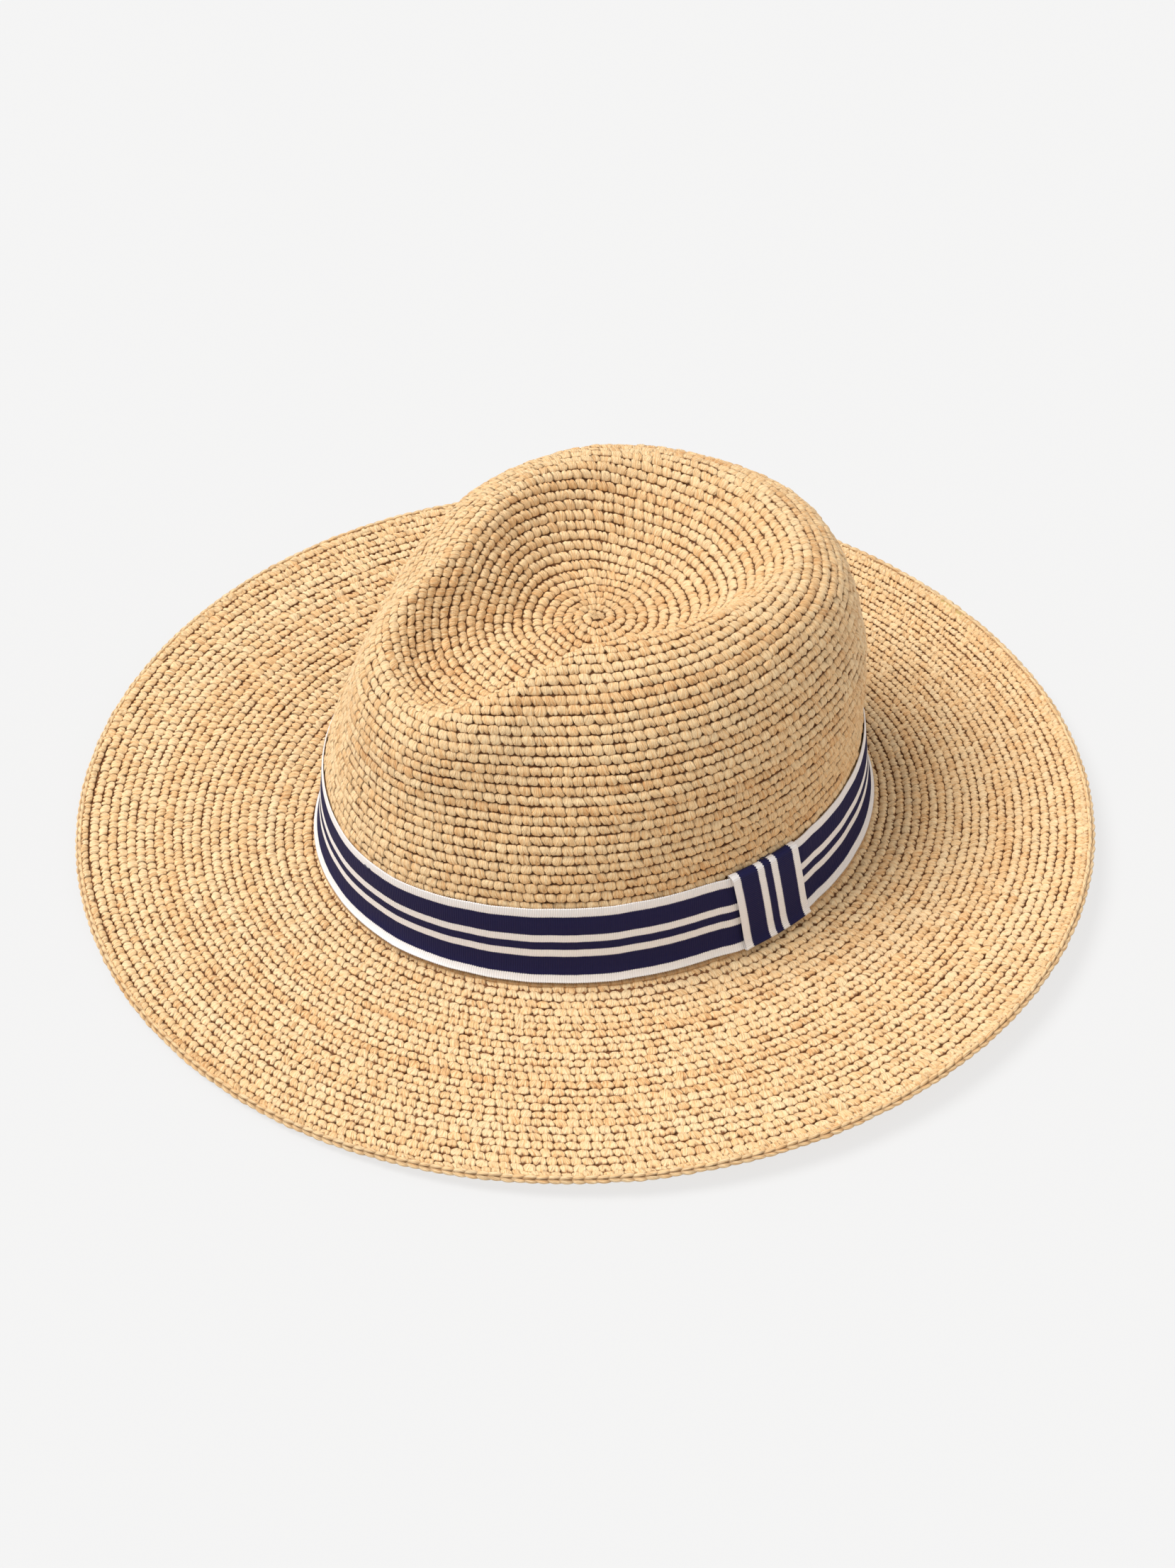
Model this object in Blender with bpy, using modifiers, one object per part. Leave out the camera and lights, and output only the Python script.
"""Crocheted straw fedora with a striped ribbon band.

Metres, +Z up. The hat stands on its resting plane z = 0 with its front
towards -Y and the wearer's left side towards +X. The origin is the centre of
the hat's outline on the resting plane.

Pieces are laid out in the crown's frame, with the crown's lower edge at z = 0,
and rest() turns them into the resting hat. Angles start at the front and run
towards the wearer's left.
"""
import math

import bmesh
import bpy
import numpy as np

MM = 0.001
TURN = 2 * math.pi

# ---------------------------------------------------------------- dimensions
SEGMENTS = 64             # around the hat
STRAW = 2.4 * MM          # thickness of the crocheted straw
TILT = math.radians(1.9)  # the crown leans back by this when the hat rests
LIFT = 7.72 * MM          # the crown's lower edge above the resting plane

CROWN_A = 103.0 * MM      # half length of the crown at its lower edge, outside
CROWN_B = 92.0 * MM       # half width there
WALL_LEAN = 3.0 * MM      # how far the wall leans in over the band's height
BAND_Z = 31.0 * MM        # height of the band's upper edge
FULL = 4.2 * MM           # the front is fuller than an oval by this at the band's top
FULL_AT = math.radians(10)
FULL_SPREAD = math.radians(26)
TIP_Z = 85.0              # mm, height of the crown's centre, in the dent
DENT_FLOOR_AT = 0.45      # radius of the dent floor station, as a part of the crest's
INNER_SLOPE_AT = 0.78     # the same for the inner slope station

# Crown sections. Angle from the front in degrees, then in mm: dent floor
# height, inner slope height, crest radius and height, shoulder radius and
# height, mid wall radius and height.
SECTIONS = np.array([
    [0,   82.0,  81.5, 83,  86.0, 91.0,  77, 97.0, 56],
    [13,  82.0,  84.5, 80,  91.0, 89.0,  82, 95.5, 58],
    [25,  82.5,  91.0, 68, 100.0, 79.5,  91, 89.5, 62],
    [39,  83.0,  97.0, 54, 106.5, 66.0,  97, 83.5, 66],
    [63,  84.0,  99.0, 46, 109.5, 60.0, 104, 80.0, 72],
    [90,  85.5,  99.5, 49, 110.5, 63.5, 106, 82.0, 74.5],
    [108, 86.0, 100.3, 54, 110.5, 69.0, 105, 85.0, 75],
    [128, 86.5,  99.8, 61, 109.0, 77.5, 103, 91.0, 73],
    [145, 86.5,  99.3, 69, 106.5, 84.3, 99.5, 95.0, 71],
    [162, 86.5,  99.3, 73.6, 105.6, 88.4, 97.7, 97.6, 70.3],
    [180, 86.5,  99.5, 75.5, 106.0, 90.5, 97.5, 99.0, 70],
], float)

# Crown rows: 0 at the tip, 1 on the crest, 2 at the lower edge.
CROWN_ROWS = np.concatenate([np.linspace(0, 1, 9), np.linspace(1, 2, 13)[1:]])

# Terms round the hat: mean, front/back (cos), oval (cos of twice the angle).
BRIM_WIDTH = (85.5 * MM, 6.8 * MM, -8.8 * MM)
RIM_Z = (1.6 * MM, -10.0 * MM, -2.2 * MM)
BRIM_CLEARANCE = 1.0 * MM  # the brim's zero line outside the crown's lower edge
FILLET_TOP = 0.3 * MM     # the brim starts this far below the crown's lower edge
FILLET_DROP = 2.5 * MM    # the brim falls by this just outside the crown
FILLET_RUN = 5.0 * MM     # length over which that fall fades out
BRIM_POWER = 1.4          # how late the brim rises or falls to its rim
BRIM_TUCK = 3.4 * MM      # the brim's first row lies this far inwards
BRIM_START = 0.3 * MM     # its second row lies this far outwards
BRIM_STEPS = 6            # from the second row to the last
BRIM_SPREAD = 1.25        # power that crowds the rows towards the crown
EDGE_IN = 4.5 * MM        # the brim's last row lies this far inside the rim

# Section of the edge braid in mm: out from the rim, up from the brim's middle.
HOOK = [(-6.0, 1.6), (-1.2, 1.6), (-1.2, -1.6), (-6.0, -1.6), (-6.2, -2.2),
        (-5.2, -2.8), (-3.4, -2.8), (-1.4, -2.8), (-0.2, -1.6), (0.0, 0.0),
        (-0.2, 1.6), (-1.4, 2.8), (-5.2, 2.8), (-6.2, 2.2)]

WIRE_R = 0.6 * MM
WIRE_IN = 2.75 * MM       # the wire's axis inside the rim
WIRE_POINTS = 72
JOINER_INNER_R = 0.9 * MM
JOINER_OUTER_R = 1.25 * MM
JOINER_L = 20.0 * MM
JOINER_HALF = JOINER_L / 2 / (CROWN_A + BRIM_WIDTH[0])   # half its length as an angle
WIRE_HALF_GAP = 0.15 * JOINER_HALF

RIBBON = 0.6 * MM         # ribbon thickness
BAND_GAP = 0.4 * MM       # band to crown
BAND_LOW = 1.2 * MM       # height of the band's lower edge
KEEPER_ANGLE = math.radians(92.6)
KEEPER_W = 31.0 * MM
KEEPER_T = 0.35 * MM
LAP = 12.0 * MM           # half of the band ends' overlap under the keeper

# Section of the keeper in mm: out from the crown wall, height.
KEEPER_LOOP = [(0.5, 0.55), (0.5, 31.65), (1.2, 31.85), (2.6, 31.85), (3.2, 31.4),
               (3.2, 16.0), (3.2, 0.9), (2.6, 0.45), (1.2, 0.4)]

# Depths inside the hat are measured inwards from the crown's outer face.
SWEAT_DEPTH = 4.7 * MM    # sweatband's outer face
SWEAT_T = 0.8 * MM
SWEAT_INNER = SWEAT_DEPTH + SWEAT_T
SWEAT_LOW, SWEAT_TOP = 0.6 * MM, 30.0 * MM
SWEAT_SLOT = 8.0 * MM     # gap between the sweatband's ends, at the back
TAB_GAP = 0.4 * MM
TAB_T = 0.6 * MM
TAB_W = 18.0 * MM
TAB_LOW, TAB_TOP = 1.2 * MM, 20.0 * MM

STITCHES = 100            # points of the sweatband's running stitch
STITCH_Z = 3.2 * MM
STITCH_SWING = 0.5 * MM   # up and down from STITCH_Z
STITCH_GAP = 0.62 * MM    # stitch axis to sweatband
STITCH_END = 12.0 * MM    # from the middle of the back
THREAD_R = 0.22 * MM

LABEL_GAP = 1.2 * MM      # sweatband to the label's middle surface
LABEL_FOLD = 0.9 * MM     # between the two leaves
LABEL_FOLD_H = 0.5 * MM
LABEL_LOW = 5.0 * MM
LABEL_T = 0.3 * MM

CORD_R = 0.75 * MM
CORD_Z = 26.0 * MM
CORD_DEPTH = 3.6 * MM
CORD_RING_END = 3.2 * MM  # the ring's ends from the middle of the back
CORD_RING_POINTS = 48
STOPPER_R = 4.2 * MM
STOPPER_H = 8.0 * MM
STOPPER_DROP = 4.0 * MM   # stopper's top below the tails' top
HOLE_R = 1.08 * MM
STOPPER_GAP = 0.4 * MM    # stopper to tab
TAIL_X = 1.6 * MM         # each cord tail's distance from the middle
TAIL_DROP = 27.0 * MM     # length of the hanging tails
TAIL_RISE = 1.0 * MM      # the tails' top above the cord
TAIL_DEPTH = SWEAT_INNER + TAB_GAP + TAB_T + STOPPER_GAP + STOPPER_R

# Crimped tip in mm: radius, height above the tail's end.
TIP_PROFILE = [(0.0, -0.3), (1.1, -0.3), (1.1, 3.2), (1.45, 3.2), (1.45, -0.9),
               (0.9, -1.6), (0.0, -1.6)]

TACK_Z = 29.6 * MM
TACK_RISE = 0.3 * MM      # every second point of a band tack is higher by this
TACK_GAP = 0.55 * MM      # tack axis to band
KEEPER_TACK_Z = 33.0 * MM


# ------------------------------------------------------------------- surfaces
def through(knots_x, knots_y, x, first, last=None):
    """Cubic curve through the knots, with slopes taken from the neighbours.

    first and last are the end slopes; without last the end runs on straight.
    """
    widths = np.diff(knots_x)[:, None]
    chords = np.diff(knots_y, axis=0) / widths
    slopes = np.zeros_like(knots_y)
    slopes[1:-1] = ((chords[:-1] * widths[1:] + chords[1:] * widths[:-1])
                    / (widths[1:] + widths[:-1]))
    slopes[0] = first
    slopes[-1] = chords[-1] if last is None else last
    i = np.clip(np.searchsorted(knots_x, x, side="right") - 1, 0, len(knots_x) - 2)
    step = widths[i]
    t = (x - knots_x[i])[:, None] / step
    return ((2 * t**3 - 3 * t**2 + 1) * knots_y[i]
            + (t**3 - 2 * t**2 + t) * step * slopes[i]
            + (-2 * t**3 + 3 * t**2) * knots_y[i + 1]
            + (t**3 - t**2) * step * slopes[i + 1])


def lengths_along(points, power=1.0):
    """Running sum of the distances between points, each raised to a power."""
    steps = np.linalg.norm(np.diff(points, axis=0), axis=1) ** power
    return np.concatenate([[0], np.cumsum(steps)])


def fullness(angle, z):
    """How far the front of the wall stands outside a plain oval."""
    off_centre = (angle - FULL_AT + np.pi) % TURN - np.pi
    return FULL * np.clip(z / BAND_Z, 0.0, 1.0) * np.exp(-(off_centre / FULL_SPREAD) ** 2)


def on_oval(angle, out, z):
    """A point on the crown's lower oval grown by out; angle is the oval's parameter."""
    return np.array([(CROWN_B + out) * math.sin(angle), -(CROWN_A + out) * math.cos(angle), z])


def wall_growth(angle, z):
    """How far the wall's oval at height z is larger than the one at its lower edge."""
    return float(fullness(angle, z)) - WALL_LEAN * z / BAND_Z


def wall(angle, z, out=0.0):
    """A point on the lower crown wall, moved outwards by out."""
    return on_oval(angle, wall_growth(angle, z) + out, z)


def meridian(angle):
    """The crown's outer face at one true angle, at CROWN_ROWS.

    The rows are spread evenly by length on each side of the crest.
    """
    degrees = abs(math.degrees((angle + math.pi) % TURN - math.pi))
    floor_z, slope_z, crest_r, crest_z, shoulder_r, shoulder_z, mid_r, mid_z = through(
        SECTIONS[:, 0], SECTIONS[:, 1:], np.array([degrees]), first=0.0, last=0.0)[0]
    oval_angle = math.atan2(math.sin(angle) * CROWN_A, math.cos(angle) * CROWN_B)
    low = []
    for part in (1.0, 0.75, 0.5, 0.25, 0.0):
        z = part * BAND_Z
        grow = wall_growth(oval_angle, z)
        radius = 1.0 / math.hypot(math.sin(angle) / (CROWN_B + grow),
                                  math.cos(angle) / (CROWN_A + grow))
        low.append([radius / MM, z / MM])
    knots = np.array([[0, TIP_Z], [DENT_FLOOR_AT * crest_r, floor_z],
                      [INNER_SLOPE_AT * crest_r, slope_z], [crest_r, crest_z],
                      [shoulder_r, shoulder_z], [mid_r, mid_z]] + low)
    spacing = lengths_along(knots, power=0.75)
    level = np.array([math.hypot(*(knots[1] - knots[0])) / spacing[1], 0.0])
    samples = np.linspace(0, spacing[-1], 400)
    curve = through(spacing, knots, samples, first=level) * MM
    run = lengths_along(curve)
    crest = float(np.interp(spacing[3], samples, run))
    at = np.interp(CROWN_ROWS, [0, 1, 2], [0, crest, run[-1]])
    radius = np.interp(at, run, curve[:, 0])
    z = np.interp(at, run, curve[:, 1])
    return np.stack([radius * math.sin(angle), -radius * math.cos(angle), z], -1)


def round_hat(terms, angle):
    mean, front_back, oval = terms
    return mean + front_back * math.cos(angle) + oval * math.cos(2 * angle)


def brim(angle, reach):
    """The brim's top face, reach outwards from the brim's zero line."""
    outward = max(reach, 0.0)
    fade = 1 - math.exp(-outward / FILLET_RUN)
    rise = (outward / round_hat(BRIM_WIDTH, angle)) ** BRIM_POWER
    z = (-FILLET_TOP - (FILLET_DROP - FILLET_TOP) * fade
         + (round_hat(RIM_Z, angle) + FILLET_DROP) * rise)
    return on_oval(angle, BRIM_CLEARANCE + reach, z)


def rim_point(angle, x, y):
    """A point in the rim's section: x out from the rim, y up from the brim's middle."""
    width = round_hat(BRIM_WIDTH, angle)
    rim = brim(angle, width)
    out = rim - brim(angle, width - 3 * MM)
    out /= np.linalg.norm(out)
    along = brim(angle + 0.01, width) - brim(angle - 0.01, width)
    up = np.cross(out, along)
    up /= np.linalg.norm(up)
    if up[2] <= 0:
        up = -up
    return rim + out * x + up * (y - STRAW / 2)


# The hat rests on the front of its rim and the back of its crown, so the
# whole hat is turned back by TILT and lifted, and its outline is centred.
def lean_back(points):
    source = np.asarray(points, float)
    y, z = source[..., 1], source[..., 2]
    leaned = source.copy()
    leaned[..., 1] = y * math.cos(TILT) + z * math.sin(TILT)
    leaned[..., 2] = z * math.cos(TILT) - y * math.sin(TILT) + LIFT
    return leaned


CENTRE_Y = lean_back([rim_point(0.0, 0, 0), rim_point(math.pi, 0, 0)])[:, 1].mean()


def rest(points):
    """Points of the crown's frame in the resting hat."""
    placed = lean_back(points)
    placed[..., 1] -= CENTRE_Y
    return placed


# Arc length round the wall's lower edge, from the front
ARC_ANGLE = np.linspace(0, TURN, 2001)
ARC_LENGTH = lengths_along(np.array([wall(t, 0.0) for t in ARC_ANGLE]))
AROUND = ARC_LENGTH[-1]
BACK = AROUND / 2


def length_at(angle):
    return float(np.interp(angle, ARC_ANGLE, ARC_LENGTH))


def wall_along(length, z, out):
    """A point on the lower crown wall, placed by arc length."""
    return wall(float(np.interp(length % AROUND, ARC_LENGTH, ARC_ANGLE)), z, out)


KEEPER_AT = length_at(KEEPER_ANGLE)
ANGLES = [TURN * j / SEGMENTS for j in range(SEGMENTS)]


# ------------------------------------------------------------ scene and tools
def new_collection(name):
    collection = bpy.data.collections.new(name)
    bpy.context.scene.collection.children.link(collection)
    return collection


def material(name, color, roughness, metallic=0.0):
    mat = bpy.data.materials.new(name)
    mat.use_nodes = True
    inputs = mat.node_tree.nodes["Principled BSDF"].inputs
    inputs["Base Color"].default_value = (*color, 1.0)
    inputs["Roughness"].default_value = roughness
    inputs["Metallic"].default_value = metallic
    return mat


for old in list(bpy.data.objects):
    bpy.data.objects.remove(old, do_unlink=True)

HAT = new_collection("fedora_hat")
CUTTERS = new_collection("cutters")

NAVY = (0.03, 0.035, 0.09)
STRAW_CROWN = material("straw_crown", color=(0.80, 0.58, 0.30), roughness=0.75)
STRAW_BRIM = material("straw_brim", color=(0.80, 0.59, 0.31), roughness=0.75)
STRAW_EDGE = material("straw_edge", color=(0.77, 0.56, 0.29), roughness=0.75)
BAND_RIBBON = material("navy_ribbon", color=NAVY, roughness=0.8)
KEEPER_RIBBON = material("keeper_ribbon", color=NAVY, roughness=0.8)
COTTON = material("sweatband_cotton", color=(0.75, 0.66, 0.50), roughness=0.9)
TAPE = material("tab_cotton", color=(0.74, 0.65, 0.50), roughness=0.9)
THREAD = material("thread", color=(0.72, 0.60, 0.42), roughness=0.8)
NAVY_THREAD = material("navy_thread", color=NAVY, roughness=0.8)
CORD = material("waxed_cord", color=(0.70, 0.58, 0.40), roughness=0.7)
WOOD = material("bead_wood", color=(0.50, 0.30, 0.14), roughness=0.5)
BRASS = material("brass", color=(0.80, 0.62, 0.30), roughness=0.3, metallic=1.0)
STEEL = material("spring_steel", color=(0.60, 0.60, 0.62), roughness=0.35, metallic=1.0)
LABEL = material("woven_label", color=(0.86, 0.84, 0.78), roughness=0.85)


def add(name, data, mat, collection=HAT):
    ob = bpy.data.objects.new(name, data)
    collection.objects.link(ob)
    if mat is not None:
        data.materials.append(mat)
    return ob


def lofted(name, grid, mat, ring=False, loop=False, pole=False, thickness=None, offset=-1.0):
    """Faces between the rows of a grid of points in the resting hat.

    ring joins each row's ends, loop joins the last row to the first, pole
    closes the first row to one point. thickness makes the sheet a solid: on
    the side away from its normals at offset -1, on both sides at offset 0.
    """
    rows, cols = len(grid), len(grid[0])
    bm = bmesh.new()
    verts = []
    for i, row in enumerate(grid):
        if pole and i == 0:
            verts.append([bm.verts.new(tuple(row[0]))] * cols)
        else:
            verts.append([bm.verts.new(tuple(p)) for p in row])
    for i in range(rows if loop else rows - 1):
        here, after = verts[i], verts[(i + 1) % rows]
        for j in range(cols if ring else cols - 1):
            k = (j + 1) % cols
            if pole and i == 0:
                bm.faces.new((here[0], after[j], after[k]))
            else:
                bm.faces.new((here[j], after[j], after[k], here[k]))
    if loop and ring:
        bmesh.ops.recalc_face_normals(bm, faces=bm.faces)
    mesh = bpy.data.meshes.new(name)
    bm.to_mesh(mesh)
    bm.free()
    mesh.shade_smooth()
    ob = add(name, mesh, mat)
    if thickness:
        solid = ob.modifiers.new("thickness", "SOLIDIFY")
        solid.thickness = thickness
        solid.offset = offset
        solid.use_even_offset = not pole
        solid.use_rim = True


def wire(name, points, radius, mat, roundness):
    """A thread, cord or wire along the points; roundness is its bevel resolution."""
    curve = bpy.data.curves.new(name, "CURVE")
    curve.dimensions = "3D"
    spline = curve.splines.new("POLY")
    spline.points.add(len(points) - 1)
    for target, point in zip(spline.points, points):
        target.co = (*point, 1.0)
    curve.bevel_depth = radius
    curve.bevel_resolution = roundness
    curve.use_fill_caps = True
    add(name, curve, mat)


def turned(name, profile, centre, segments, mat, collection=HAT):
    """A turned piece about the vertical through centre, from a profile of (radius, z)."""
    mesh = bpy.data.meshes.new(name)
    mesh.from_pydata([(radius, 0.0, z) for radius, z in profile],
                     [(i, i + 1) for i in range(len(profile) - 1)], [])
    ob = add(name, mesh, mat, collection)
    ob.location = centre
    screw = ob.modifiers.new("turn", "SCREW")
    screw.angle = TURN
    screw.steps = segments
    screw.render_steps = segments
    screw.use_merge_vertices = True
    screw.merge_threshold = 0.00001
    return ob


def inside_strip(name, start, end, low, top, depth, thickness, mat, steps):
    """A strip against the inside of the crown, between two arc lengths."""
    grid = [[wall_along(start + (end - start) * i / steps, z, -depth)
             for i in range(steps + 1)]
            for z in (top, 0.5 * (low + top), low)]
    lofted(name, rest(grid), mat, thickness=thickness)


# --------------------------------------------------------------------- straw
def build_crown():
    columns = np.array([meridian(t) for t in ANGLES])
    lofted("crown", rest(columns.transpose(1, 0, 2)), STRAW_CROWN,
           ring=True, pole=True, thickness=STRAW)


def build_brim():
    rows = [[brim(t, -BRIM_TUCK) for t in ANGLES]]
    for k in range(BRIM_STEPS + 1):
        part = (k / BRIM_STEPS) ** BRIM_SPREAD
        rows.append([brim(t, BRIM_START + part * (round_hat(BRIM_WIDTH, t) - EDGE_IN - BRIM_START))
                     for t in ANGLES])
    lofted("brim", rest(rows), STRAW_BRIM, ring=True, thickness=STRAW)


def build_edge_braid():
    """Finishing round, hooked over the brim's edge and the wire."""
    grid = rest([[rim_point(t, x * MM, y * MM) for t in ANGLES] for x, y in HOOK])
    grid[..., 2] = np.maximum(grid[..., 2], 0.0)      # flat where the hat rests
    lofted("brim_edge_braid", grid, STRAW_EDGE, ring=True, loop=True)


def build_brim_wire():
    """Wire round the rim with its ends at the back."""
    angles = np.linspace(math.pi + WIRE_HALF_GAP, math.pi + TURN - WIRE_HALF_GAP, WIRE_POINTS)
    wire("brim_wire", rest([rim_point(t, -WIRE_IN, 0.0) for t in angles]),
         WIRE_R, STEEL, roundness=1)


def build_wire_joiner():
    """Tube over the wire's ends."""
    stations = np.linspace(math.pi - JOINER_HALF, math.pi + JOINER_HALF, 7)
    turns = [TURN * k / 10 for k in range(10)]
    grid = []
    for radius, order in ((JOINER_OUTER_R, stations), (JOINER_INNER_R, stations[::-1])):
        for t in order:
            grid.append([rim_point(t, -WIRE_IN + radius * math.cos(q), radius * math.sin(q))
                         for q in turns])
    lofted("wire_joiner", rest(grid), BRASS, ring=True, loop=True)


# ---------------------------------------------------------------- ribbon band
def smooth(x):
    x = min(max(x, 0.0), 1.0)
    return x * x * (3 - 2 * x)


def band_offset(run):
    """Inner face of the band, run along the ribbon from its first cut end."""
    past_keeper = run - LAP
    near = min(abs(past_keeper), abs(past_keeper - AROUND))
    # the band stands off near the keeper, and its last end steps over the first
    stand_off = 0.6 * MM * smooth((26 * MM - near) / (9 * MM))
    step_over = 0.9 * MM * smooth((run - (AROUND - 9 * MM)) / (8 * MM))
    return BAND_GAP + stand_off + step_over


def build_hatband():
    length = AROUND + 2 * LAP
    first, last = 40 * MM, length - 48 * MM     # closer stations outside these
    runs = np.concatenate([np.linspace(0, first, 9), np.linspace(first, last, 58)[1:-1],
                           np.linspace(last, length, 12)])
    grid = [[wall_along(KEEPER_AT - LAP + run, z, band_offset(run) + RIBBON) for run in runs]
            for z in (BAND_Z, BAND_LOW)]
    lofted("hatband", rest(grid), BAND_RIBBON, thickness=RIBBON)


def build_keeper():
    """Loop of ribbon folded round both layers of the band."""
    grid = [[wall_along(KEEPER_AT + KEEPER_W * (k / 5 - 0.5), z * MM, x * MM)
             for x, z in KEEPER_LOOP] for k in range(6)]
    lofted("ribbon_keeper", rest(grid), KEEPER_RIBBON, ring=True,
           thickness=KEEPER_T, offset=0.0)


# ------------------------------------------------------------------ sweatband
def build_sweatband():
    inside_strip("sweatband", BACK + SWEAT_SLOT / 2, BACK + AROUND - SWEAT_SLOT / 2,
                 SWEAT_LOW, SWEAT_TOP, SWEAT_DEPTH, SWEAT_T, COTTON, steps=64)


def build_tab():
    """Short tab that closes the slot between the sweatband's ends, under the cord."""
    inside_strip("sweatband_tab", BACK - TAB_W / 2, BACK + TAB_W / 2, TAB_LOW, TAB_TOP,
                 SWEAT_INNER + TAB_GAP, TAB_T, TAPE, steps=4)


def build_stitching():
    """Running stitch that holds the sweatband's lower edge."""
    lengths = np.linspace(BACK + STITCH_END, BACK + AROUND - STITCH_END, STITCHES)
    points = [wall_along(s, STITCH_Z + STITCH_SWING * (-1) ** i, -(SWEAT_INNER + STITCH_GAP))
              for i, s in enumerate(lengths)]
    wire("sweatband_stitching", rest(points), THREAD_R, THREAD, roundness=0)


def build_label(name, degrees, width, top):
    """A woven label folded at its top, standing up inside the sweatband."""
    centre = length_at(math.radians(degrees))
    outer = SWEAT_INNER + LABEL_GAP
    inner = outer + LABEL_FOLD
    fold_low = top - LABEL_FOLD_H
    profile = [(outer, LABEL_LOW), (outer, fold_low), (outer + LABEL_FOLD / 2, top),
               (inner, fold_low), (inner, LABEL_LOW)]
    grid = [[wall_along(centre + width * (i / 4 - 0.5), z, -depth) for i in range(5)]
            for depth, z in profile]
    lofted(name, rest(grid), LABEL, thickness=LABEL_T, offset=0.0)


# ------------------------------------------------------------ adjusting cord
# The cord lies between sweatband and crown, and its two tails come out
# through the slot at the back and hang inside the hat.
TAIL_TOP = np.array([0.0, wall(math.pi, CORD_Z, -TAIL_DEPTH)[1], CORD_Z + TAIL_RISE])


def sideways(x):
    return np.array([x, 0.0, 0.0])


def below_tail_top(drop, x=0.0):
    """Straight down in the resting hat from the tails' top, x from the middle."""
    return rest(TAIL_TOP) + np.array([x, 0.0, -drop])


def build_cord():
    drops = (TAIL_DROP, 20 * MM, 12 * MM, 5 * MM, 1.5 * MM)
    right_tail = [below_tail_top(drop, -TAIL_X) for drop in drops]
    # out to the crown: part of the way, lift in mm
    behind = wall(math.pi, CORD_Z, -CORD_DEPTH)
    for part, lift in ((0.12, 1.0), (0.35, 1.5), (0.65, 1.2), (0.9, 0.4)):
        point = TAIL_TOP * (1 - part) + behind * part
        right_tail.append(rest(point + [-TAIL_X, 0, lift * MM]))
    lengths = np.linspace(BACK + CORD_RING_END, BACK + AROUND - CORD_RING_END,
                          CORD_RING_POINTS)
    ring = [rest(wall_along(s, CORD_Z, -CORD_DEPTH)) for s in lengths]
    left_tail = [p * np.array([-1.0, 1.0, 1.0]) for p in right_tail[::-1]]
    wire("adjuster_cord", right_tail + ring + left_tail, CORD_R, CORD, roundness=2)


def build_stopper():
    """Bead with two holes, one round each tail."""
    half, radius = STOPPER_H / 2, STOPPER_R
    centre = below_tail_top(STOPPER_DROP + half)
    bead = turned("cord_stopper", [
        (0.0, half), (0.72 * radius, half), (0.93 * radius, 0.62 * half), (radius, 0.0),
        (0.93 * radius, -0.62 * half), (0.72 * radius, -half), (0.0, -half)],
        centre, 20, WOOD)
    reach = 2 * half
    for side, word in ((-1, "right"), (1, "left")):
        hole = turned("cord_hole_" + word, [
            (0.0, reach), (HOLE_R, reach), (HOLE_R, -reach), (0.0, -reach)],
            centre + sideways(side * TAIL_X), 12, None, CUTTERS)
        hole.hide_render = True
        hole.display_type = "WIRE"
        cut = bead.modifiers.new("hole", "BOOLEAN")
        cut.operation = "DIFFERENCE"
        cut.solver = "EXACT"
        cut.object = hole


def build_cord_tips():
    """A crimped tip on each tail's end."""
    profile = [(radius * MM, z * MM) for radius, z in TIP_PROFILE]
    for side, word in ((-1, "right"), (1, "left")):
        turned("cord_tip_" + word, profile, below_tail_top(TAIL_DROP, side * TAIL_X), 12, BRASS)


# ----------------------------------------------------------------- hand tacks
def build_band_tack(word, degrees):
    centre = length_at(math.radians(degrees))
    points = [wall_along(centre + x * MM, TACK_Z + TACK_RISE * (k % 2),
                         BAND_GAP + RIBBON + TACK_GAP)
              for k, x in enumerate((-1.6, -0.5, 0.6, 1.7))]
    wire("band_tack_" + word, rest(points), THREAD_R, NAVY_THREAD, roundness=1)


def build_keeper_tack():
    # mm: along the wall from the keeper's middle, out from the wall
    path = ((-3.0, 0.75), (-1.0, 0.95), (1.0, 0.75), (3.0, 0.95))
    points = [wall_along(KEEPER_AT + x * MM, KEEPER_TACK_Z, out * MM) for x, out in path]
    wire("keeper_tack", rest(points), THREAD_R, NAVY_THREAD, roundness=1)


build_crown()
build_brim()
build_edge_braid()
build_brim_wire()
build_wire_joiner()
build_hatband()
build_keeper()
build_sweatband()
build_tab()
build_stitching()
build_label("care_label", degrees=150, width=22 * MM, top=36 * MM)
build_label("size_label", degrees=214, width=14 * MM, top=22 * MM)
build_cord()
build_stopper()
build_cord_tips()
for place, tack_degrees in (("front", 4), ("right", 268), ("back", 182)):
    build_band_tack(place, tack_degrees)
build_keeper_tack()
